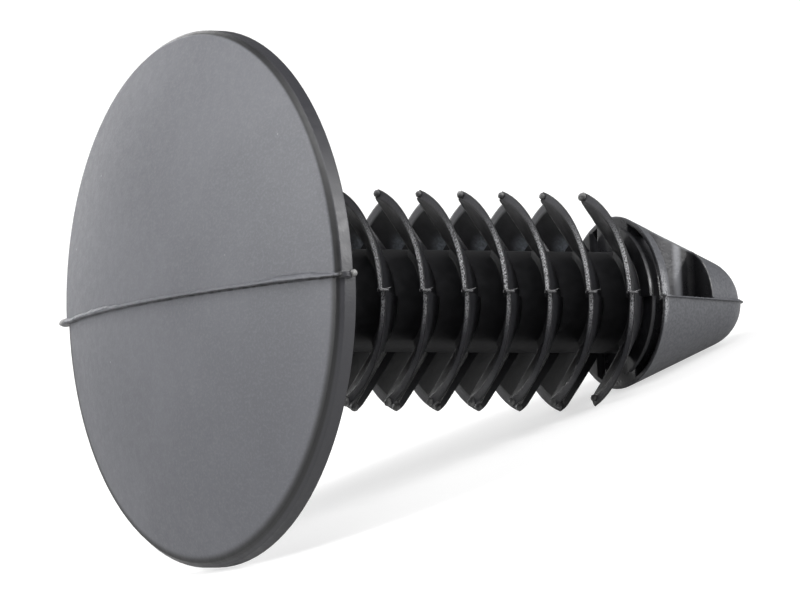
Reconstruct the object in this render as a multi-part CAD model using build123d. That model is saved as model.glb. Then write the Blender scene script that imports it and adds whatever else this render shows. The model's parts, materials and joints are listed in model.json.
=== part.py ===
from build123d import *
import math
import os

# Panel retainer clip: a push-in "fir tree" fastener, moulded as one piece in black nylon.
# A crowned round head covers the hole, and a round stem carries a bank of thin swept fins
# that fold as the clip is pushed in and then catch behind the panel. All sizes are in mm.
#
# The clip is drawn along its stem: +X runs from the seat of the head to the nose, the two
# mould halves open along +Y and -Y, and +Z lies in the parting plane. It is then laid down
# on its head rim and the two lower horns of its last fin, as it comes to rest on a table.

# Head: a crowned disc with a thin wall, dished underneath inside a flat seat ring
head_diameter = 25.0
rim_height = 0.85
crown_edge_break = 0.25
seat_edge_break = 0.1
crown_height = 2.0
head_wall = 1.5
seat_width = 1.3

# Core of the stem, which flares out where it leaves the head
core_diameter = 4.85
neck_flare = 0.7

# Fins, from the edge of the first to the last. Each leans back to the head, ends in a narrow
# flat face that looks along the stem, and is split by the slot into two rounded banks
fin_count = 7
fin_diameter = 10.7
first_fin = 6.0
fin_pitch = 2.31
fin_end = 0.47
fin_root = 0.55
fin_root_ease = 0.3
fin_sweep = 38.0
fin_slot = 2.6
horn_round = 0.4

# Tip: a thin swept barb, a cone and a round nose behind the last fin, with a collar before it
tip_base = 22.4
tip_diameter = 8.3
tip_length = 6.7
nose_radius = 2.2
barb_lip = 0.22
barb_depth = 1.0
groove_diameter = 6.7
collar_diameter = 7.4
collar_length = 0.45
collar_edge = 0.2

# Pockets that core out the tip, one in each mould half, on either side of a web that sweeps
# round into the barb and meets the nose almost square
pocket_start = 0.55
pocket_length = 3.35
pocket_barb_round = 1.6
pocket_nose_round = 0.3
web_thickness = 1.8

# Marks of the mould: flash on the parting line, a nub at each end of it on the rim, and
# halves that meet a little out of line
flash_height = 0.12
flash_thickness = 0.12
fin_flash_length = 0.5
near_nub = 0.25
far_nub = 0.4
nub_length = 0.55
half_mismatch = 0.13

# Worked out from the sizes above
head_radius = head_diameter / 2
core_radius = core_diameter / 2
fin_radius = fin_diameter / 2
tip_radius = tip_diameter / 2
collar_radius = collar_diameter / 2
groove_radius = groove_diameter / 2
sweep = math.tan(math.radians(fin_sweep))
dish_depth = rim_height + crown_height - head_wall
collar_start = tip_base - collar_length
last_fin = first_fin + fin_pitch * (fin_count - 1)
nose_end = tip_base + tip_length
core_end = tip_base + pocket_start / 2
root_overlap = 0.2


def solid_of_turn(outline):
    """Turned solid of a closed outline drawn as (along the stem, radius)."""
    return revolve(make_face(outline), Axis.X, 360)


def crown_ball():
    """Ball whose cap is the crown."""
    ball_radius = (head_radius**2 + crown_height**2) / (2 * crown_height)
    return Pos(ball_radius - rim_height - crown_height, 0, 0) * Sphere(ball_radius)


def head_and_core():
    """Turned disc with its seat ring, dish, flared neck and the core, crowned and eased."""
    front = -rim_height - 2 * crown_height
    section = Polyline(
        (front, 0),
        (core_end, 0),
        (core_end, core_radius),
        (-dish_depth, core_radius),
        (0, head_radius - seat_width),
        (0, head_radius),
        (front, head_radius),
        close=True,
    )
    section = make_face(section)
    seat_edge = section.vertices().filter_by(lambda v: v.X == 0).sort_by(Axis.Y)[-1]
    neck_root = section.vertices().filter_by(lambda v: v.X == -dish_depth)
    section = chamfer(seat_edge, seat_edge_break)
    section = chamfer(neck_root, neck_flare)
    crowned = revolve(section, Axis.X, 360) & crown_ball()
    crown_edge = crowned.edges().sort_by(SortBy.LENGTH)[-2:].sort_by(Axis.X)[0]
    return chamfer(crown_edge, crown_edge_break)


def fin(k):
    """Turned fin, with a small ease where its head side meets the core."""
    edge_x = first_fin + k * fin_pitch
    end_r = fin_radius - fin_end
    root_x = edge_x + (end_r - core_radius) * sweep
    inside_r = core_radius - root_overlap
    outline = Polyline(
        (root_x - fin_root_ease, inside_r),
        (root_x - fin_root_ease, core_radius),
        (root_x - fin_root_ease * sweep, core_radius + fin_root_ease),
        (edge_x, end_r),
        (edge_x, fin_radius),
        (root_x + fin_root, core_radius),
        (root_x + fin_root, inside_r),
        close=True,
    )
    return solid_of_turn(outline)


def collar():
    """Turned collar against the tip, with an edge that falls to the groove of the barb."""
    outline = Polyline(
        (collar_start, core_radius - root_overlap),
        (collar_start, collar_radius),
        (collar_start + collar_edge, collar_radius),
        (tip_base, groove_radius),
        (tip_base + root_overlap, core_radius - root_overlap),
        close=True,
    )
    return solid_of_turn(outline)


def bank_section():
    """Section of one bank of fins: a round cut flat along the slot, with rounded horns."""
    cut = Pos(0, fin_slot / 2 - fin_diameter) * Rectangle(2 * fin_diameter, 2 * fin_diameter)
    section = Circle(fin_radius + horn_round / 4) - cut
    return fillet(section.vertices(), horn_round)


def banked(ring):
    """The parts of a ring that lie in the two banks, on either side of the slot."""
    bank = extrude(Plane.YZ * bank_section(), nose_end)
    return [ring & bank, ring & Rot(180, 0, 0) * bank]


def rings():
    """Collar and fins, as the parts of them that stand in the two banks."""
    parts = banked(collar())
    for k in range(fin_count):
        parts += banked(fin(k))
    return parts


def tip_outline(grow=0.0):
    """Half section of the tip, a cone tangent to the round nose, moved out by grow."""
    base_r = tip_radius + grow
    nose_r = nose_radius + grow
    centre_x = nose_end - nose_radius
    along = centre_x - tip_base
    cone_angle = math.atan2(base_r, along) - math.asin(nose_r / math.hypot(along, base_r))
    touch = (centre_x + nose_r * math.sin(cone_angle), nose_r * math.cos(cone_angle))
    half = (math.pi / 2 - cone_angle) / 2
    middle = (centre_x + nose_r * math.cos(half), nose_r * math.sin(half))
    return [
        Line((tip_base, 0), (tip_base, base_r)),
        Line((tip_base, base_r), touch),
        ThreePointArc(touch, middle, (centre_x + nose_r, 0)),
        Line((centre_x + nose_r, 0), (tip_base, 0)),
    ]


def barb_groove():
    """Undercut that leaves the barb a thin lip, and which the flat between the banks fills."""
    outline = Polyline(
        (tip_base, tip_radius - barb_lip),
        (tip_base + barb_depth, groove_radius),
        (tip_base, groove_radius),
        close=True,
    )
    flat = Pos(tip_base, 0, 0) * Box(2 * tip_length, 2 * tip_diameter, fin_slot)
    return solid_of_turn(outline) - flat


def pocket(side):
    """Cored pocket of one mould half: side +1 opens up and near, -1 down and far."""
    plan = Rectangle(pocket_length, tip_diameter, align=(Align.MIN, Align.MIN))
    plan = Pos(tip_base + pocket_start, web_thickness / 2) * plan
    by_barb, by_nose = plan.vertices().group_by(Axis.Y)[0].sort_by(Axis.X)
    plan = fillet(by_barb, pocket_barb_round)
    by_nose = plan.vertices().group_by(Axis.Y)[0].sort_by(Axis.X)[-1]
    plan = fillet(by_nose, pocket_nose_round)
    upright = Plane(origin=(0, 0, 0), x_dir=(1, 0, 0), z_dir=(0, -1, 0))
    upper = extrude(upright * plan, -tip_diameter)
    return upper if side > 0 else Rot(180, 0, 0) * upper


def in_parting_plane(section):
    """Thin plate of flash in the parting plane from a half section, on both sides."""
    plate = extrude(section, flash_thickness / 2, both=True)
    return Rot(90, 0, 0) * plate + Rot(-90, 0, 0) * plate


def tip():
    """Turned tip with its line of flash, undercut behind the barb and cored by the pockets."""
    body = solid_of_turn(tip_outline()) + in_parting_plane(make_face(tip_outline(flash_height)))
    return body - barb_groove() - pocket(+1) - pocket(-1)


def moulded_body():
    return head_and_core() + tip() + rings()


def halves_out_of_line(body):
    """The two mould halves of the body, the lower one moved along the stem."""
    parting = Plane(origin=(0, 0, 0), x_dir=(1, 0, 0), z_dir=(0, 1, 0))
    upper = split(body, bisect_by=parting, keep=Keep.TOP)
    lower = split(body, bisect_by=parting, keep=Keep.BOTTOM)
    return upper + Pos(half_mismatch, 0, 0) * lower


def head_band():
    """Band of flash along the crown and rim, as a half section that reaches into the head."""
    radius = head_radius + flash_height
    height = crown_height + flash_height
    ball_radius = (radius**2 + height**2) / (2 * height)
    apex_x = -rim_height - height
    middle_x = apex_x + ball_radius - math.sqrt(ball_radius**2 - (radius / 2) ** 2)
    crown = ThreePointArc((-rim_height, radius), (middle_x, radius / 2), (apex_x, 0))
    inside = Polyline(
        (apex_x, 0),
        (-dish_depth - head_wall / 2, 0),
        (-rim_height + root_overlap, head_radius - root_overlap),
        (-root_overlap, head_radius - root_overlap),
        (-root_overlap, radius),
        (-rim_height, radius),
    )
    return make_face([crown, inside])


def flash():
    marks = [in_parting_plane(head_band())]
    for k in range(fin_count):
        edge_x = first_fin + k * fin_pitch
        for side in (-1, 1):
            tick = Box(fin_flash_length, flash_thickness, 2 * flash_height)
            marks.append(Pos(edge_x, 0, side * fin_radius) * tick)
    for side, height in ((1, near_nub), (-1, far_nub)):
        nub = Rot(90, 0, 0) * Cylinder(nub_length / 2, 2 * flash_thickness)
        marks.append(Pos(-rim_height / 2, 0, side * (head_radius + height - nub_length / 2)) * nub)
    return marks


def horn_reach():
    """How far the horns of a fin stand from the parting plane."""
    return (bank_section() & Circle(fin_radius)).bounding_box().max.X


def laid_down(body):
    """The clip at rest on its rim and the lower horns of its last fin, over the origin."""
    drop = head_radius - horn_reach()
    run = last_fin - seat_edge_break
    tilt = math.degrees(math.atan2(drop, run))
    laid = Rot(0, tilt, 0) * Rot(90, 0, 0) * body
    box = laid.bounding_box()
    return Pos(-box.center().X, -box.center().Y, -box.min.Z) * laid


clip = halves_out_of_line(moulded_body())
for mark in flash():
    clip = clip + mark
clip = laid_down(clip)

os.makedirs("parts", exist_ok=True)
export_step(clip, "parts/panel_clip.step")
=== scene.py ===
import math
import json
import bmesh
import bpy
from mathutils import Matrix, Vector, noise


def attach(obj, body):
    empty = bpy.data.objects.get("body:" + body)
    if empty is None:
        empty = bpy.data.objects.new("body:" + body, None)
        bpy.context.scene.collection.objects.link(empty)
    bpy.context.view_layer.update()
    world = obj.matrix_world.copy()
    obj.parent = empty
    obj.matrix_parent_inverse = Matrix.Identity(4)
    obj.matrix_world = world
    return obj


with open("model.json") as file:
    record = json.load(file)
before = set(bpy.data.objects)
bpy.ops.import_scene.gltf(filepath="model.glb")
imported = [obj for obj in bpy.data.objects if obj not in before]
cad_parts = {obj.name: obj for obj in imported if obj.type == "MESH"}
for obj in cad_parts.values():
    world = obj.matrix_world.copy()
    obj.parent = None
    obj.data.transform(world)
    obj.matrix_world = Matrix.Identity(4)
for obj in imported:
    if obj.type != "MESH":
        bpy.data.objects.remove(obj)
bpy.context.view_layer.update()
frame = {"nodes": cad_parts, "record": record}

# Panel retainer clip of black nylon: its CAD body with moulded finishes, and the flash, nubs
# and burrs that the mould left on it. The clip's own axes are used throughout: x along the
# stem from the seat of the head to the nose, y across the parting plane (up in the
# photograph) and z in the parting plane towards the viewer. Sizes are in mm unless a comment
# gives another unit.

MM = 0.001

# Head: a crowned disc, with the middle of its eased edge between the rim and the crown
HEAD_RADIUS = 12.5
RIM_HEIGHT = 0.85
CROWN_HEIGHT = 2.0
CROWN_BALL = (HEAD_RADIUS**2 + CROWN_HEIGHT**2) / (2 * CROWN_HEIGHT)
EDGE_MIDDLE = -0.75

# Core and fins: each fin leans 38 degrees back to the head, so FIN_SWEEP for each mm of its
# height, ends in a narrow flat face FIN_END high, and is split by the slot into two banks
CORE_RADIUS = 2.425
FIN_COUNT = 7
FIN_RADIUS = 5.35
FIRST_FIN = 6.0
FIN_PITCH = 2.31
FIN_END = 0.47
FIN_SLOT = 2.6
FIN_SWEEP = math.tan(math.radians(38.0))

# Tip: a cone whose radius falls by CONE_FALL with each mm, cored by a pocket on either side
# of a web
TIP_BASE = 22.4
TIP_RADIUS = 4.15
CONE_FALL = 0.3963
POCKET_START = 0.55
POCKET_LENGTH = 3.35
POCKET_END = TIP_BASE + POCKET_START + POCKET_LENGTH
WEB_HALF = 0.9

# How far the lower half of the clip lies along the stem from the upper one
MISMATCH = 0.13

# The clip's axes in the row frame, from the record's stem mount
mounts = {m["name"]: m for m in frame["record"]["mounts"]}
axis = Vector(mounts["stem"]["axis"])
up = Vector((-axis.z, 0, axis.x))
near = Vector((0, -1, 0))
seat_centre = Vector(mounts["stem"]["pos_m"]) - axis * (FIRST_FIN / 2 * MM)
clip_turn = Matrix((axis, up, near)).transposed()


def row(x, y, z):
    """Place in the row frame, in metres, of a point given in the clip's axes in mm."""
    return seat_centre + clip_turn @ Vector((x, y, z)) * MM


# ---- camera ------------------------------------------------------------------------------

# How the photograph was taken: a long lens, looking past the crown along the stem. The lens
# is in pixels of the picture, and SEAT_PIXEL is where the centre of the seat shows
IMAGE_WIDTH, IMAGE_HEIGHT = 800, 600
SENSOR = 36.0
LENS_PIXELS = 8000
CAMERA_DISTANCE = 372.5
STEM_TO_SIGHT = math.radians(58.164)
PARTING_LIFT = math.radians(5.394)
CAMERA_ROLL = math.radians(0.512)
SEAT_PIXEL = (213.3, 299.16)

# Nearest and farthest that the camera sees, in metres
NEAREST, FARTHEST = 0.01, 10


def camera_axes():
    """Right, up and back of the camera in the clip's axes."""
    sight_c, sight_s = math.cos(STEM_TO_SIGHT), math.sin(STEM_TO_SIGHT)
    lift_c, lift_s = math.cos(PARTING_LIFT), math.sin(PARTING_LIFT)
    roll_c, roll_s = math.cos(CAMERA_ROLL), math.sin(CAMERA_ROLL)
    right = Vector((sight_s, -lift_s * sight_c, lift_c * sight_c))
    high = Vector((0, lift_c, lift_s))
    back = Vector((-sight_c, -lift_s * sight_s, lift_c * sight_s))
    return right * roll_c + high * roll_s, high * roll_c - right * roll_s, back


def make_camera():
    """The photograph's camera, placed so that the seat's centre shows at SEAT_PIXEL."""
    right, high, back = camera_axes()
    across = (SEAT_PIXEL[0] - IMAGE_WIDTH / 2) / LENS_PIXELS * CAMERA_DISTANCE
    above = -(SEAT_PIXEL[1] - IMAGE_HEIGHT / 2) / LENS_PIXELS * CAMERA_DISTANCE
    eye = row(*(back * CAMERA_DISTANCE - right * across - high * above))
    turn = clip_turn @ Matrix((right, high, back)).transposed()
    data = bpy.data.cameras.new("camera")
    data.sensor_width = SENSOR
    data.lens = SENSOR * LENS_PIXELS / IMAGE_WIDTH
    data.clip_start, data.clip_end = NEAREST, FARTHEST
    camera = bpy.data.objects.new("camera", data)
    camera.matrix_world = Matrix.Translation(eye) @ turn.to_4x4()
    bpy.context.scene.collection.objects.link(camera)
    bpy.context.scene.camera = camera


make_camera()


# ---- colours and nodes -------------------------------------------------------------------

MATHS = "ShaderNodeMath"
VECTOR = "ShaderNodeVectorMath"
RANGE = "ShaderNodeMapRange"
MIX = "ShaderNodeMix"
NOISE = "ShaderNodeTexNoise"
SMOOTH = {"interpolation_type": "SMOOTHSTEP"}
TIMES = {"operation": "MULTIPLY"}

# Numbers of a mix's sockets for colours: how much, what lies under and over, and the result
AMOUNT, UNDER, OVER, MIXED = 0, 6, 7, 2


def colour(code):
    """Linear colour of an sRGB hex value."""
    parts = [int(code[i : i + 2], 16) / 255 for i in (1, 3, 5)]
    linear = [p / 12.92 if p <= 0.04045 else ((p + 0.055) / 1.055) ** 2.4 for p in parts]
    return (*linear, 1)


def add(tree, kind, inputs=(), **settings):
    """A node with its settings. Its inputs come in their order, or by name or number, and each
    is linked to a socket or set to a value. A node stands for its first output."""
    node = tree.nodes.new(kind)
    for name, value in settings.items():
        setattr(node, name, value)
    keyed = inputs if isinstance(inputs, dict) else dict(enumerate(inputs))
    for key, source in keyed.items():
        if isinstance(source, bpy.types.Node):
            source = source.outputs[0]
        if isinstance(source, bpy.types.NodeSocket):
            tree.links.new(source, node.inputs[key])
        else:
            node.inputs[key].default_value = source
    return node


def clip_place(tree):
    """Place on the clip in its own axes, in mm, for patterns and zones."""
    where = add(tree, "ShaderNodeTexCoord")
    settings = {
        "Vector": where.outputs["Object"],
        "Location": seat_centre,
        "Rotation": clip_turn.to_euler(),
        "Scale": (MM, MM, MM),
    }
    return add(tree, "ShaderNodeMapping", settings, vector_type="TEXTURE")


# ---- black nylon, moulded ----------------------------------------------------------------

NYLON_IOR = 1.53

# Patterns of the nylon: the size in mm of their marks, then the detail and roughness of the
# noise. Clouds are slow changes of tone over the crown, and coarse marks are the flow of the
# melt. The satin of the mould and the grains, on which white glints are painted, are really
# about 0.03 mm, too fine for pixels of 0.05 mm, so they are drawn as coarse as they need to
# show
PATTERNS = {
    "cloud": (6.0, 3.0, 0.5),
    "coarse": (0.45, 3.0, 0.5),
    "satin": (0.13, 2.0, 0.5),
    "grains": (0.075, 2.0, 0.7),
}

# What shows of the patterns: where in a pattern's 0 to 1 the marks begin and are whole, and
# how strong they are. The coarse marks show in the colour and in the roughness
COARSE_MARKS = (0.3, 0.7)
MARKS = {
    "mottle": ("coarse", *COARSE_MARKS, 1),
    "clouds": ("cloud", 0.35, 0.65, 1),
    "fine": ("satin", 0.35, 0.65, 1),
    "flecks": ("satin", 0.45, 0.7, 0.45),
    "sharp": ("grains", 0.42, 0.55, 1),
}

# Specks of dust pressed into the crown, with their spacing and radius
SPECK_SPACING = 1.9
SPECK_RADIUS = 0.07

# Borders of the zones: each zone begins at the first value and is whole at the second. These
# are places along the stem
HEAD_BORDER = (0.25, 0.05)
CROWN_BORDER = (EDGE_MIDDLE + 0.04, EDGE_MIDDLE - 0.04)
NECK_BORDER = (4.0, 4.5)
LAST_FIN_BORDER = (21.6, 21.4)
TIP_BORDER = (TIP_BASE - 0.3, TIP_BASE)
POCKET_BORDER = (POCKET_END + 0.1, POCKET_END)

# These are distances from the stem's axis or from the middle of the zone, and for the pockets
# the depth under the surface of the cone
CORE_WIDTH = (CORE_RADIUS + 0.2, CORE_RADIUS + 0.1)
BARB_WIDTH = (TIP_RADIUS - 0.35, TIP_RADIUS - 0.2)
# The dark edge between the crown and the rim is painted shade, EDGE_WIDTH wide
EDGE_WIDTH = (0.17, 0.06)
FIN_END_WIDTH = (FIN_END * 0.46, FIN_END * 0.2)
LIP_WIDTH = (0.4, 0.15)
PARTING_WIDTH = (1.8, 0.2)
UNDER_CONE = (0.04, 0.12)

# Painted shadow: a dark line under the ridge of flash, FLASH_FOOT under the parting plane. It
# is as broken as the coarse marks (where they begin and are whole, and how much of the line
# shows at each), and it fades to FAR_SHARE towards the far side of the head
FLASH_FOOT = 0.08
FOOT_WIDTH = (0.065, 0.03)
BREAKS = (0.4, 0.6, 0.25, 0.9)
FAR_FADE = (-5.0, 0.0)
FAR_SHARE = 0.35

# Fin ends: how squarely they face the head, as a cosine, and the height on the fins where the
# lamps' highlight falls, round which white glints are painted on their grains
FACING = (0.9, 0.97)
SPARKLE_MIDDLE = 0.9
SPARKLE_WIDTH = (3.2, 0.4)

# Painted reflection: a pale bluish blotch at the roots of the far upper fins, round this
# middle in each pitch
ROOT_REFLECTION_MIDDLE = (FIN_PITCH / 2 + 1.18, 2.75, -1.94)
ROOT_REFLECTION_WIDTH = (0.95, 0.15)

# Painted highlight: a pale streak on the web of each pocket, and painted shade, darker, on the
# web past it towards the pocket's end
STREAK_START = TIP_BASE + 3.06
DEEP_SHADE_BORDER = (STREAK_START, TIP_BASE + 3.46)
STREAK_WIDTH = (0.34, 0.04)
STREAK_SHARE = 0.8

# Painted glints on the lip of the barb at LIP_MIDDLE, by the parting plane, where the lamps'
# light falls
LIP_MIDDLE = TIP_BASE + 0.1
LIP_SHARE = 0.3

# Colours of the nylon by finish
STEM_BLACK, STEM_PALE = "#1b1b1e", "#242427"
# Painted reflection: the pale blue of the blotch at the roots of the far upper fins
ROOT_REFLECTION_BLUE = "#969da6"
FIN_END_GREY = "#4a4a4e"
# Painted glints: white on the grains of the fin ends and on the lip of the barb
PAINTED_GLINT_WHITE = "#fafafc"
TIP_GREY, TIP_PALE = "#494a4e", "#57585c"
# Painted shade: the pockets darker than the tip, and darkest past the streak
POCKET_SHADE_GREY, POCKET_DEEP_SHADE = "#2c2c2f", "#18181a"
# Painted highlight: the pale streak in each pocket
STREAK_HIGHLIGHT_GREY = "#85868a"
RIM_GREY = "#2e2e32"
# Painted shade and shadow: the dark line at the crown's edge and under the ridge of flash
PAINTED_SHADE_BLACK = "#151517"
CROWN_GREY, CROWN_PALE = "#535459", "#58595e"
SATIN_GREY = "#636469"
SPECK_GREY = "#85868a"

# Each finish has the colour that it starts from, and the zones that lie over it in order,
# each with a colour or an earlier finish
FINISHES = {
    # The fin ends: their grey, with painted white glints over it
    "fin_end_grey_and_glints": (FIN_END_GREY, (("painted_glints", PAINTED_GLINT_WHITE),)),
    # Painted shade in the pockets, darker past the streak
    "pocket_painted_shade": (POCKET_SHADE_GREY, (("pocket_deep_shade", POCKET_DEEP_SHADE),)),
    "tip_finish": (
        TIP_GREY,
        # painted shade in the pockets, and a painted highlight streak on their webs
        (("fine", TIP_PALE), ("pocket", "pocket_painted_shade"), ("painted_streak", STREAK_HIGHLIGHT_GREY)),
    ),
    "crown_finish": (
        CROWN_GREY,
        (
            ("clouds", CROWN_PALE),
            ("flecks", SATIN_GREY),
            # painted shadow under the ridge of flash
            ("ridge_shadow", PAINTED_SHADE_BLACK),
            ("specks", SPECK_GREY),
        ),
    ),
    "clip_finish": (
        STEM_BLACK,
        (
            ("mottle", STEM_PALE),
            # painted reflection at the roots of the far upper fins
            ("root_reflection", ROOT_REFLECTION_BLUE),
            ("tip", "tip_finish"),
            ("fin_ends", "fin_end_grey_and_glints"),
            # painted white glints on the lip of the barb
            ("lip_glints", PAINTED_GLINT_WHITE),
            ("head", RIM_GREY),
            ("crown", "crown_finish"),
            # painted shade in the dark line at the crown's edge
            ("edge", PAINTED_SHADE_BLACK),
        ),
    ),
}

# Roughness of the stem between its marks, and what each zone adds to it or takes from it
STEM_ROUGH = (0.33, 0.41)
ZONE_ROUGH = {
    "head": 0.05,
    "crown": 0.12,
    "tip": 0.1,
    "pocket": -0.17,
    "fin_ends": 0.1,
    "core": 0.2,
}

# Relief: how much more the coarse marks and the grains stand up than the satin, its strength
# and depth, and how far the moulded edges look rounded
COARSE_RELIEF = 1.5
GRAIN_RELIEF = 4.0
RELIEF_STRENGTH = 0.3
RELIEF_DEPTH = 0.02
EDGE_ROUND = 0.09
EDGE_SAMPLES = 6


def band(tree, place, middle, width, share=1):
    """Zone along a line on the clip, by how far a place lies from the middle of the line."""
    off = add(tree, MATHS, (place, middle), operation="SUBTRACT")
    off = add(tree, MATHS, (off,), operation="ABSOLUTE")
    return add(tree, RANGE, (off, *width, 0, share), **SMOOTH)


def nylon_patterns(tree, place):
    """The patterns of the nylon, and what shows of them."""
    patterns = {}
    for name, (size, detail, rough) in PATTERNS.items():
        inputs = {"Vector": place, "Scale": 1 / size, "Detail": detail, "Roughness": rough}
        patterns[name] = add(tree, NOISE, inputs)
    for name, (pattern, begins, whole, share) in MARKS.items():
        inputs = (patterns[pattern], begins, whole, 0, share)
        patterns[name] = add(tree, RANGE, inputs, **SMOOTH)
    cells = add(tree, "ShaderNodeTexVoronoi", {"Vector": place, "Scale": 1 / SPECK_SPACING})
    speck_edge = SPECK_RADIUS / SPECK_SPACING
    patterns["specks"] = add(tree, RANGE, (cells, speck_edge, speck_edge / 2))
    return patterns


def head_zones(tree, x, y, z, patterns):
    """The head, its crown, the painted shade of its dark edge, and the broken painted shadow
    under the ridge.
    """
    broken = add(tree, RANGE, (patterns["coarse"], *BREAKS), **SMOOTH)
    past_far = add(tree, RANGE, (z, *FAR_FADE, FAR_SHARE, 1), **SMOOTH)
    # Painted shadow: a broken dark line under the ridge of flash
    shadow_line = band(tree, y, -FLASH_FOOT, FOOT_WIDTH)
    shadow_line = add(tree, MATHS, (shadow_line, broken), **TIMES)
    shadow_line = add(tree, MATHS, (shadow_line, past_far), **TIMES)
    return {
        "head": add(tree, RANGE, (x, *HEAD_BORDER), **SMOOTH),
        "crown": add(tree, RANGE, (x, *CROWN_BORDER), **SMOOTH),
        # Painted shade: the dark line at the crown's eased edge
        "edge": band(tree, x, EDGE_MIDDLE, EDGE_WIDTH),
        "ridge_shadow": shadow_line,
    }


def stem_zones(tree, x, y, z, radius, patterns):
    """The core, the narrow fin ends, their painted white glints, and the painted reflection at
    the roots.
    """
    past_neck = add(tree, RANGE, (x, *NECK_BORDER), **SMOOTH)
    before_tip = add(tree, RANGE, (x, *LAST_FIN_BORDER), **SMOOTH)
    on_fins = add(tree, MATHS, (past_neck, before_tip), **TIMES)
    core = add(tree, RANGE, (radius, *CORE_WIDTH), **SMOOTH)

    normal = add(tree, "ShaderNodeTexCoord").outputs["Normal"]
    to_head = add(tree, VECTOR, (normal, -axis), operation="DOT_PRODUCT")
    faces_head = add(tree, RANGE, (to_head.outputs["Value"], *FACING), **SMOOTH)
    fin_ends = band(tree, radius, FIN_RADIUS - FIN_END / 2, FIN_END_WIDTH)
    fin_ends = add(tree, MATHS, (fin_ends, faces_head), **TIMES)
    # Painted highlight: white glints on the grains, in a band round the height where the
    # lamps' highlight falls
    towards_lamp = band(tree, y, SPARKLE_MIDDLE, SPARKLE_WIDTH)

    # Painted reflection: a pale blotch round a middle at the roots of the far upper fins
    in_pitch = add(tree, MATHS, (x, FIRST_FIN - FIN_PITCH / 2), operation="SUBTRACT")
    in_pitch = add(tree, MATHS, (in_pitch, FIN_PITCH), operation="FLOORED_MODULO")
    in_one = add(tree, "ShaderNodeCombineXYZ", (in_pitch, y, z))
    from_root = add(tree, VECTOR, (in_one, ROOT_REFLECTION_MIDDLE), operation="DISTANCE")
    root_reflection = add(tree, RANGE, (from_root.outputs["Value"], *ROOT_REFLECTION_WIDTH), **SMOOTH)
    root_reflection = add(tree, MATHS, (root_reflection, patterns["satin"]), **TIMES)
    return {
        "core": add(tree, MATHS, (core, on_fins), **TIMES),
        "fin_ends": add(tree, MATHS, (fin_ends, on_fins), **TIMES),
        "painted_glints": add(tree, MATHS, (patterns["sharp"], towards_lamp), **TIMES),
        "root_reflection": add(tree, MATHS, (root_reflection, on_fins), **TIMES),
    }


def tip_zones(tree, x, y, z, radius, patterns):
    """The tip, its pockets that lie under the cone, the painted shade in them, darker past the
    streak, the painted highlight streak, and the painted glints on the lip of the barb."""
    tip = add(tree, RANGE, (x, *TIP_BORDER), **SMOOTH)
    fall = (x, TIP_BASE, TIP_BASE + 1, TIP_RADIUS, TIP_RADIUS - CONE_FALL)
    cone = add(tree, RANGE, fall, clamp=False)
    depth = add(tree, MATHS, (cone, radius), operation="SUBTRACT")
    under = add(tree, RANGE, (depth, *UNDER_CONE), **SMOOTH)
    before_nose = add(tree, RANGE, (x, *POCKET_BORDER), **SMOOTH)
    # Painted shade: the pocket zone, where the surface lies under the cone
    pocket = add(tree, MATHS, (tip, under), **TIMES)
    pocket = add(tree, MATHS, (pocket, before_nose), **TIMES)

    # Painted highlight: a pale streak on the web of each pocket
    flat = add(tree, "ShaderNodeCombineXYZ", {0: x, 2: z})
    off_streak = add(tree, VECTOR, (flat, (STREAK_START, 0, WEB_HALF)), operation="DISTANCE")
    painted_streak = (off_streak.outputs["Value"], *STREAK_WIDTH, 0, STREAK_SHARE)
    painted_streak = add(tree, RANGE, painted_streak, **SMOOTH)

    # Painted highlight: white glints on the grains of the barb's lip near the parting plane
    lip_glints = band(tree, x, LIP_MIDDLE, LIP_WIDTH)
    outmost = add(tree, RANGE, (radius, *BARB_WIDTH), **SMOOTH)
    by_parting = band(tree, y, 0, PARTING_WIDTH, LIP_SHARE)
    for zone in (outmost, by_parting, patterns["sharp"]):
        lip_glints = add(tree, MATHS, (lip_glints, zone), **TIMES)
    return {
        "tip": tip,
        "pocket": pocket,
        "pocket_deep_shade": add(tree, RANGE, (x, *DEEP_SHADE_BORDER), **SMOOTH),
        "painted_streak": add(tree, MATHS, (painted_streak, pocket), **TIMES),
        "lip_glints": lip_glints,
    }


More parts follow.
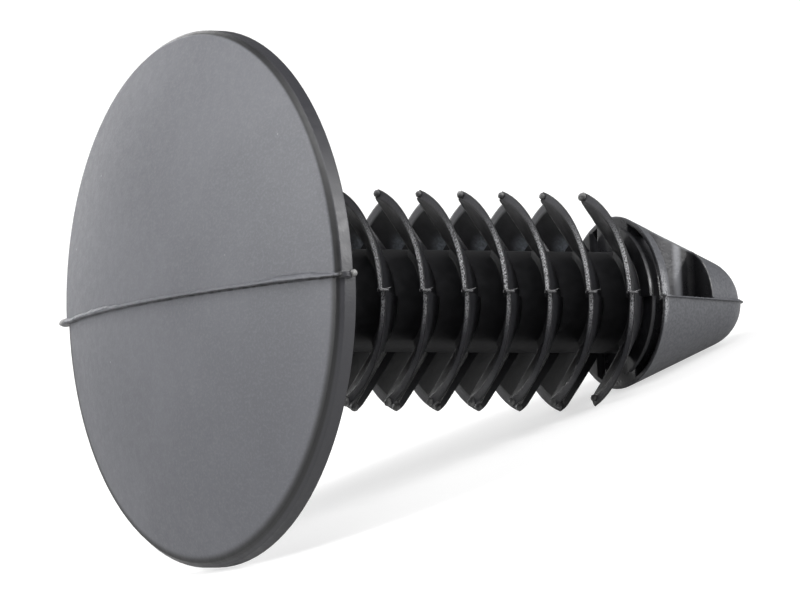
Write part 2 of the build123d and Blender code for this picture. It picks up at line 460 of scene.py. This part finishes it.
def make_nylon():
    """Black nylon, injection moulded. The crown took a fine satin texture from the mould and
    has rubbed grey, with painted shade in a dark line at its eased edge and a painted shadow
    under the ridge of flash; the stem is smoother and blacker, with a painted bluish
    reflection at the fin roots and painted white glints on the grains of the fin ends and the
    barb's lip;
    the tip is satin outside and glossier in its pockets, which are painted darker as shade,
    with a painted highlight streak on the web of each."""
    material = bpy.data.materials.new("black_nylon_moulded")
    material.use_nodes = True
    tree = material.node_tree
    shader = tree.nodes["Principled BSDF"]
    shader.inputs["IOR"].default_value = NYLON_IOR

    place = clip_place(tree)
    x, y, z = add(tree, "ShaderNodeSeparateXYZ", (place,)).outputs
    across = add(tree, VECTOR, (place, (0, 1, 1)), **TIMES)
    radius = add(tree, VECTOR, (across,), operation="LENGTH").outputs["Value"]
    zones = nylon_patterns(tree, place)
    zones.update(head_zones(tree, x, y, z, zones))
    zones.update(stem_zones(tree, x, y, z, radius, zones))
    zones.update(tip_zones(tree, x, y, z, radius, zones))

    made = {}
    for name, (start, layers) in FINISHES.items():
        result = colour(start)
        for zone, finish in layers:
            over = made[finish] if finish in made else colour(finish)
            mix = {AMOUNT: zones[zone], UNDER: result, OVER: over}
            result = add(tree, MIX, mix, data_type="RGBA").outputs[MIXED]
        made[name] = result
    tree.links.new(made["clip_finish"], shader.inputs["Base Color"])

    rough = add(tree, RANGE, (zones["coarse"], *COARSE_MARKS, *STEM_ROUGH), **SMOOTH)
    for zone, share in ZONE_ROUGH.items():
        rough = add(tree, MATHS, (zones[zone], share, rough), operation="MULTIPLY_ADD")
    tree.links.new(rough.outputs[0], shader.inputs["Roughness"])

    relief = (zones["coarse"], COARSE_RELIEF, zones["satin"])
    relief = add(tree, MATHS, relief, operation="MULTIPLY_ADD")
    grainy = add(tree, MATHS, (zones["grains"], zones["fin_ends"]), **TIMES)
    relief = add(tree, MATHS, (grainy, GRAIN_RELIEF, relief), operation="MULTIPLY_ADD")
    edges = add(tree, "ShaderNodeBevel", {"Radius": EDGE_ROUND * MM}, samples=EDGE_SAMPLES)
    bumps = {
        "Height": relief,
        "Normal": edges,
        "Strength": RELIEF_STRENGTH,
        "Distance": RELIEF_DEPTH * MM,
    }
    bump = add(tree, "ShaderNodeBump", bumps)
    tree.links.new(bump.outputs[0], shader.inputs["Normal"])
    return material


nylon = make_nylon()
clip = frame["nodes"]["panel_clip"]
clip.data.materials.clear()
clip.data.materials.append(nylon)


# ---- film of flash -----------------------------------------------------------------------

# Thin and thick patches of the film, with their size in mm and the part of the noise that
# makes them
# Its pale colour also paints the highlights along the slot edges and at the horn tips
FILM_THICK, FILM_THIN = "#555557", "#818180"
FILM_PATCH = 0.3
FILM_DETAIL = 3.0
FILM_MARKS = (0.35, 0.65)
FILM_ROUGH = 0.45


def make_flash_nylon():
    """The same nylon where it squeezed between the mould halves and set as a film: light comes
    through it, so it looks pale, and paler where it is thin."""
    material = bpy.data.materials.new("nylon_flash_film")
    material.use_nodes = True
    tree = material.node_tree
    shader = tree.nodes["Principled BSDF"]
    shader.inputs["IOR"].default_value = NYLON_IOR
    shader.inputs["Roughness"].default_value = FILM_ROUGH
    inputs = {"Vector": clip_place(tree), "Scale": 1 / FILM_PATCH, "Detail": FILM_DETAIL}
    patch = add(tree, NOISE, inputs)
    thin = add(tree, RANGE, (patch, *FILM_MARKS), **SMOOTH)
    mix = {AMOUNT: thin, UNDER: colour(FILM_THICK), OVER: colour(FILM_THIN)}
    film = add(tree, MIX, mix, data_type="RGBA")
    tree.links.new(film.outputs[MIXED], shader.inputs["Base Color"])
    return material


flash_nylon = make_flash_nylon()


# ---- marks of the mould ------------------------------------------------------------------

# Every horn of the fins: its fin, its half (1 upper, -1 lower) and its bank (1 near, -1 far)
HORNS = [(k, half, bank) for k in range(FIN_COUNT) for half in (1, -1) for bank in (1, -1)]

# Angles round a thin burr, which has five sides
FIVE_SIDES = (0, 1.257, 2.513, 3.77, 5.027)

# The noise is nothing at whole numbers, so lines are read from it off that grid
OFF_GRID = 0.5


def fin_edge(k, half=1):
    """Place along the stem of the edge of a fin, in the upper or the lower half."""
    return FIRST_FIN + k * FIN_PITCH + (0.0 if half > 0 else MISMATCH)


def horn_seed(k, half, bank, shares):
    """Seed of its own for each horn, from what its fin, half and bank add to it."""
    return shares[0] * k + shares[1] * half + shares[2] * bank


def crown_x(z):
    """Place along the stem of the crown's surface over the parting plane."""
    middle = CROWN_BALL - RIM_HEIGHT - CROWN_HEIGHT
    return middle - math.sqrt(CROWN_BALL**2 - z**2)


def wander(place, height, pace, seed):
    """Smooth unevenness along a line, up to a height each way. A larger pace is busier."""
    return height * noise.noise(Vector((place * pace, seed, OFF_GRID)))


def share_of(value):
    """The value, kept between nothing and the whole."""
    return max(0.0, min(1.0, value))


def finish_piece(bm, name, material):
    """Turns a mesh drawn in the clip's axes into a piece that rides on the clip."""
    mesh = bpy.data.meshes.new(name)
    bmesh.ops.transform(bm, matrix=Matrix.Scale(MM, 4), verts=bm.verts)
    bmesh.ops.transform(bm, matrix=clip_turn.to_4x4(), verts=bm.verts)
    bmesh.ops.translate(bm, vec=seat_centre, verts=bm.verts)
    bmesh.ops.recalc_face_normals(bm, faces=bm.faces)
    for face in bm.faces:
        face.smooth = True
    bm.to_mesh(mesh)
    bm.free()
    mesh.materials.append(material)
    piece = bpy.data.objects.new(name, mesh)
    bpy.context.scene.collection.objects.link(piece)
    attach(piece, "root")


def skin(bm, sections):
    """Closed skin over a row of sections with the same number of points."""
    loops = [[bm.verts.new(p) for p in section] for section in sections]
    count = len(loops[0])
    for first, second in zip(loops, loops[1:]):
        for i in range(count):
            j = (i + 1) % count
            bm.faces.new((first[i], first[j], second[j], second[i]))
    bm.faces.new(loops[0])
    bm.faces.new(list(reversed(loops[-1])))


# Ridge of flash over the crown. It starts a little inside the far rim
RIDGE_STEPS = 520
RIDGE_INSET = 0.1
RIDGE_LENGTH = 2 * HEAD_RADIUS - 0.25

# Where its near end begins and how it runs out at the rim, and where its far end begins, each
# as a place in the parting plane and the length over which it changes
NEAR_END, NEAR_GROWS = 7.0, 2
NEAR_RIM, NEAR_FALLS = 12.6, 1.5
FAR_END, FAR_GROWS = -3.0, 3

# How tall it is and how far it lies back: in the middle, and what its two ends add
RIDGE_TALL, TALL_NEAR, TALL_FAR = 0.08, 0.14, 0.04
RIDGE_LEAST = 0.03
RIDGE_BACK, BACK_NEAR, BACK_FAR = 0.02, 0.2, 0.1
RIDGE_ASIDE = 0.02

# Its unevenness: height in mm (of the nicks, a share of the ridge's), pace and seed
SWELLS = (0.07, 0.8, 3)
RIPPLES = (0.035, 3.1, 7)
NICKS = (0.6, 1.5, 12)
LAPS = (0.06, 0.7, 41)
SWAYS = (0.06, 0.6, 31)
SHIVERS = (0.05, 2.0, 33)
FRAYS = (0.03, 2.7, 19)

# Its section, from under the lower side over the sharp edge to under the upper side: how far
# each point is sunk, its share of the height, how far it is aside, and its share of the back
RIDGE_SECTION = (
    (0.05, 0, -0.01, 0),
    (0, 0.5, -0.025, 0),
    (0, 1, 0, 0),
    (0, 0.92, 0.06, 0),
    (0, 0.45, 0.06, 0.5),
    (0.04, 0, 0.08, 1),
)


def make_crown_flash():
    """Ragged ridge over the crown: a film that lies back on the upper half, widest and
    tallest towards the near side, with a sharp edge over the lower half."""
    sections = []
    for i in range(RIDGE_STEPS + 1):
        z = -HEAD_RADIUS + RIDGE_INSET + RIDGE_LENGTH * i / RIDGE_STEPS
        x = crown_x(z)
        near_end = share_of((z - NEAR_END) / NEAR_GROWS)
        near_end *= min(1.0, (NEAR_RIM - z) / NEAR_FALLS)
        far_end = share_of((FAR_END - z) / FAR_GROWS)
        tall = RIDGE_TALL + TALL_NEAR * near_end + TALL_FAR * far_end
        tall += max(0.0, wander(z, *SWELLS)) + wander(z, *RIPPLES)
        tall *= 1 - max(0.0, wander(z, *NICKS))
        tall = max(tall, RIDGE_LEAST)
        back = RIDGE_BACK + BACK_NEAR * near_end + BACK_FAR * far_end
        back += max(0.0, wander(z, *LAPS))
        edge = wander(z, *SWAYS) + wander(z, *SHIVERS) - RIDGE_ASIDE - wander(z, *FRAYS)
        sections.append(
            [
                (x + sunk - height * tall, edge + aside + lean * back, z)
                for sunk, height, aside, lean in RIDGE_SECTION
            ]
        )
    bm = bmesh.new()
    skin(bm, sections)
    finish_piece(bm, "crown_flash", nylon)


# Pace of the unevenness of a lump, over its radius, and how finely its ball is divided
LUMP_PACE = 1.3
LUMP_FINENESS = 3


def lump(bm, centre, size, seed, uneven):
    """Rounded lump of nylon with half sizes along the three axes, a little uneven."""
    made = bmesh.ops.create_icosphere(bm, subdivisions=LUMP_FINENESS, radius=1.0)
    for vert in made["verts"]:
        swell = 1 + uneven * noise.noise(vert.co * LUMP_PACE + Vector((seed, 0, 0)))
        vert.co = Vector(c + s * v * swell for c, s, v in zip(centre, size, vert.co))


# Centre, half sizes and seed of the near and the far nub
RIM_NUBS = (
    ((-0.07, 0.05, 12.6), (0.11, 0.17, 0.36), 2.0),
    ((-0.76, 0.0, -12.55), (0.22, 0.21, 0.62), 5.0),
)
NUB_UNEVEN = 0.12


def make_nubs():
    """Films that squeezed out of the mould at the two ends of its parting line."""
    bm = bmesh.new()
    for centre, size, seed in RIM_NUBS:
        lump(bm, centre, size, seed, NUB_UNEVEN)
    finish_piece(bm, "rim_nubs", flash_nylon)


# Caps on the horns: their half sizes, how far they lean to the head and stand from the
# parting plane and the slot's middle, and the height, pace and seed of how they differ
CAP_SIZE = (0.15, 0.18, 0.23)
CAP_LEAN = 0.04
CAP_REACH, CAP_REACH_ON_TABLE = 4.92, 4.7
CAP_ASIDE = 1.5
CAP_UNEVEN = 0.15
CAP_SWELLS = (0.3, 1, 1)
CAP_STRAYS = (0.05, 1, 9)
CAP_SEEDS = (3.1, 1, 0.3)


def make_horn_blobs():
    """Rounded caps of film at the horns of the fins, where the mould was worn, whose pale
    colour paints the highlight at their tips. They lean to the head, and those that stand on
    the table end above it."""
    bm = bmesh.new()
    for k, half, bank in HORNS:
        seed = horn_seed(k, half, bank, CAP_SEEDS)
        swell = 1 + wander(seed, *CAP_SWELLS)
        on_table = half < 0 and k == FIN_COUNT - 1
        reach = CAP_REACH_ON_TABLE if on_table else CAP_REACH
        aside = CAP_ASIDE + wander(seed, *CAP_STRAYS)
        centre = (fin_edge(k, half) - CAP_LEAN, half * reach, bank * aside)
        lump(bm, centre, [side * swell for side in CAP_SIZE], seed, CAP_UNEVEN)
    finish_piece(bm, "horn_blobs", flash_nylon)


# Burrs along the slot: the heights on the fin at which they start and end, their radius and
# how flat they are, and the height and pace of their unevenness
SLOT_BURR_STEPS = 24
SLOT_BURR_FOOT, SLOT_BURR_TOP = 2.35, 4.75
SLOT_BURR_RADIUS = 0.03
SLOT_BURR_FLAT = 0.5
SLOT_BURR_SWELLS = (0.012, 3)
SLOT_BURR_SEEDS = (5, 1, 0.4)


def make_slot_burrs_and_highlights():
    """Fine burrs along the edges of the fins, where the two mould plates met at the slot, in
    the pale film, which also paints the highlight along those edges.
    """
    bm = bmesh.new()
    wall = FIN_SLOT / 2
    for k, half, bank in HORNS:
        seed = horn_seed(k, half, bank, SLOT_BURR_SEEDS)
        sections = []
        for i in range(SLOT_BURR_STEPS + 1):
            height = SLOT_BURR_FOOT + (SLOT_BURR_TOP - SLOT_BURR_FOOT) * i / SLOT_BURR_STEPS
            inside_end = max(0.0, FIN_RADIUS - FIN_END - math.hypot(height, wall))
            x = fin_edge(k, half) + inside_end * FIN_SWEEP
            r = SLOT_BURR_RADIUS + wander(height, *SLOT_BURR_SWELLS, seed)
            section = []
            for turn in FIVE_SIDES:
                c, s = r * math.cos(turn), r * math.sin(turn)
                y = half * (height + SLOT_BURR_FLAT * s)
                section.append((x + c, y, bank * (wall + s)))
            sections.append(section)
        skin(bm, sections)
    finish_piece(bm, "slot_burrs_and_highlights", flash_nylon)


# How thick a thread is at its ends, as a share of its middle
THREAD_ENDS = 0.3


def thread(bm, points, thick):
    """Thin closed skin, five-sided, along a row of points, which tapers to both ends."""
    sections = []
    last = len(points) - 1
    for i, point in enumerate(points):
        along = (points[min(i + 1, last)] - points[max(i - 1, 0)]).normalized()
        side = along.orthogonal().normalized()
        other = along.cross(side)
        fullness = math.sin(math.pi * i / last) ** 0.5
        r = thick / 2 * (THREAD_ENDS + (1 - THREAD_ENDS) * fullness)
        section = []
        for turn in FIVE_SIDES:
            section.append(point + (side * math.cos(turn) + other * math.sin(turn)) * r)
        sections.append(section)
    skin(bm, sections)


# Burr at the end of each pocket: how far round from the parting plane it starts, in radians,
# how thick it is, and the height, pace and seed of its unevenness
POCKET_BURR_STEPS = 28
POCKET_BURR_FROM = 0.04
POCKET_BURR_THICK = 0.07
POCKET_BURR_SWELLS = (0.008, 6)
POCKET_BURR_SEED = 3


def make_pocket_burrs():
    """Fine burr where the end of each pocket meets the cone of the tip."""
    bm = bmesh.new()
    cone = TIP_RADIUS - CONE_FALL * (POCKET_END - TIP_BASE)
    reach = math.acos(WEB_HALF / cone) - POCKET_BURR_FROM
    for half in (1, -1):
        x = POCKET_END + (MISMATCH if half < 0 else 0.0)
        points = []
        for i in range(POCKET_BURR_STEPS + 1):
            turn = POCKET_BURR_FROM + reach * i / POCKET_BURR_STEPS
            r = cone + wander(turn, *POCKET_BURR_SWELLS, POCKET_BURR_SEED * half)
            y, z = r * math.sin(turn), r * math.cos(turn)
            points.append(Vector((x, half * y, half * z)))
        thread(bm, points, POCKET_BURR_THICK)
    finish_piece(bm, "pocket_burrs", flash_nylon)


# Ticks of flash: their length before and after the edge of the fin, with the height, pace and
# seeds of their unevenness, their height over the parting plane in the middle and what the
# ends add, and how far they stand off the fin
TICK_STEPS = 12
TICK_BEFORE, TICK_AFTER = 0.34, 0.42
TICK_SWELLS = (0.08, 1.7)
BEFORE_SEED, AFTER_SEED = 51, 53
TICK_LIFT, TICK_CURL = 0.05, 0.09
TICK_STAND = 0.1
TICK_THICK = 0.036


def make_flash_ticks():
    """Hair-thin film left standing on both sides of each fin at the parting line."""
    bm = bmesh.new()
    for k in range(FIN_COUNT):
        for side in (1, -1):
            before = TICK_BEFORE + wander(k, *TICK_SWELLS, BEFORE_SEED * side)
            after = TICK_AFTER + wander(k, *TICK_SWELLS, AFTER_SEED * side)
            z = side * (FIN_RADIUS + TICK_STAND)
            points = []
            for i in range(TICK_STEPS + 1):
                along = -1 + 2 * i / TICK_STEPS
                x = fin_edge(k) + (after if along > 0 else before) * along
                points.append(Vector((x, TICK_LIFT + TICK_CURL * along * along, z)))
            thread(bm, points, TICK_THICK)
    finish_piece(bm, "flash_ticks", flash_nylon)


make_crown_flash()
make_nubs()
make_horn_blobs()
make_slot_burrs_and_highlights()
make_pocket_burrs()
make_flash_ticks()


# ---- stage -------------------------------------------------------------------------------

# Side of the floor in metres
FLOOR_SIZE = 4.0

# Pale paper. The glow brings it to white for the eye and keeps it off the clip: the satin
# nylon takes only a share of it as gloss
PAPER = "#b8b8b8"
PAPER_GLOW = "#cbcbcb"
GLOSS_SHARE = 0.25


def make_floor():
    """Floor of uncoated paper: matt, even and pale, with only the clip's shadow on it."""
    mesh = bpy.data.meshes.new("floor")
    h = FLOOR_SIZE / 2
    mesh.from_pydata([(-h, -h, 0), (h, -h, 0), (h, h, 0), (-h, h, 0)], [], [(0, 1, 2, 3)])
    floor = bpy.data.objects.new("floor", mesh)
    bpy.context.scene.collection.objects.link(floor)
    material = bpy.data.materials.new("white_paper")
    material.use_nodes = True
    tree = material.node_tree
    tree.nodes.clear()
    rays = add(tree, "ShaderNodeLightPath").outputs
    gloss = add(tree, MATHS, (rays["Is Glossy Ray"], GLOSS_SHARE), **TIMES)
    seen = add(tree, MATHS, (rays["Is Camera Ray"], gloss), operation="MAXIMUM")
    paper = add(tree, "ShaderNodeBsdfDiffuse", {"Color": colour(PAPER)})
    glow = add(tree, "ShaderNodeEmission", {"Strength": seen, "Color": colour(PAPER_GLOW)})
    both = add(tree, "ShaderNodeAddShader", (paper, glow))
    add(tree, "ShaderNodeOutputMaterial", {"Surface": both})
    mesh.materials.append(material)


make_floor()


# Strength of the even light from all round, and of the white that the camera sees there
WORLD_FILL = 0.14
WORLD_SEEN = 1.0
WORLD_WHITE = "#ffffff"


def make_world():
    """Plain white studio, which lights the clip a little from all round."""
    world = bpy.data.worlds.new("studio")
    bpy.context.scene.world = world
    world.use_nodes = True
    tree = world.node_tree
    tree.nodes.clear()
    rays = add(tree, "ShaderNodeLightPath").outputs
    white = colour(WORLD_WHITE)
    fill = add(tree, "ShaderNodeBackground", {"Color": white, "Strength": WORLD_FILL})
    seen = add(tree, "ShaderNodeBackground", {"Color": white, "Strength": WORLD_SEEN})
    mix = add(tree, "ShaderNodeMixShader", (rays["Is Camera Ray"], fill, seen))
    add(tree, "ShaderNodeOutputWorld", {"Surface": mix})


make_world()


def add_softbox(name, place, target, size, watts):
    """A square area lamp at a place, facing a target, both in the row frame in mm."""
    data = bpy.data.lights.new(name, "AREA")
    data.size = size * MM
    data.energy = watts
    lamp = bpy.data.objects.new(name, data)
    lamp.location = Vector(place) * MM
    lamp.rotation_mode = "QUATERNION"
    lamp.rotation_quaternion = (Vector(place) - Vector(target)).to_track_quat("Z", "Y")
    lamp.visible_camera = False
    bpy.context.scene.collection.objects.link(lamp)


CLIP_MIDDLE = (0, 0, 10)
CROWN_MIDDLE = (-10.5, 0, 13.7)

# Name, place and target in mm, size in mm and power in watts. The camera stands at -Y
LAMPS = (
    ("above_left", (-260, 240, 480), CLIP_MIDDLE, 500, 1.05),
    ("left", (-480, 20, 330), CLIP_MIDDLE, 150, 1.95),
    ("behind", (150, 650, 250), CLIP_MIDDLE, 400, 1.8),
    ("behind_left", (-350, 600, 150), CLIP_MIDDLE, 250, 0.25),
    ("front_right", (300, -500, 350), CLIP_MIDDLE, 300, 2.4),
    ("front_high", (-50, -350, 500), CLIP_MIDDLE, 300, 1.3),
    ("low_right", (390, -440, 70), CLIP_MIDDLE, 100, 1.75),
    ("over_crown", (-23, -15, 64), CROWN_MIDDLE, 30, 0.010),
    ("behind_crown", (-87, 60, 94), CROWN_MIDDLE, 40, 0.025),
)
for lamp in LAMPS:
    add_softbox(*lamp)

bpy.context.scene.view_settings.view_transform = "Standard"
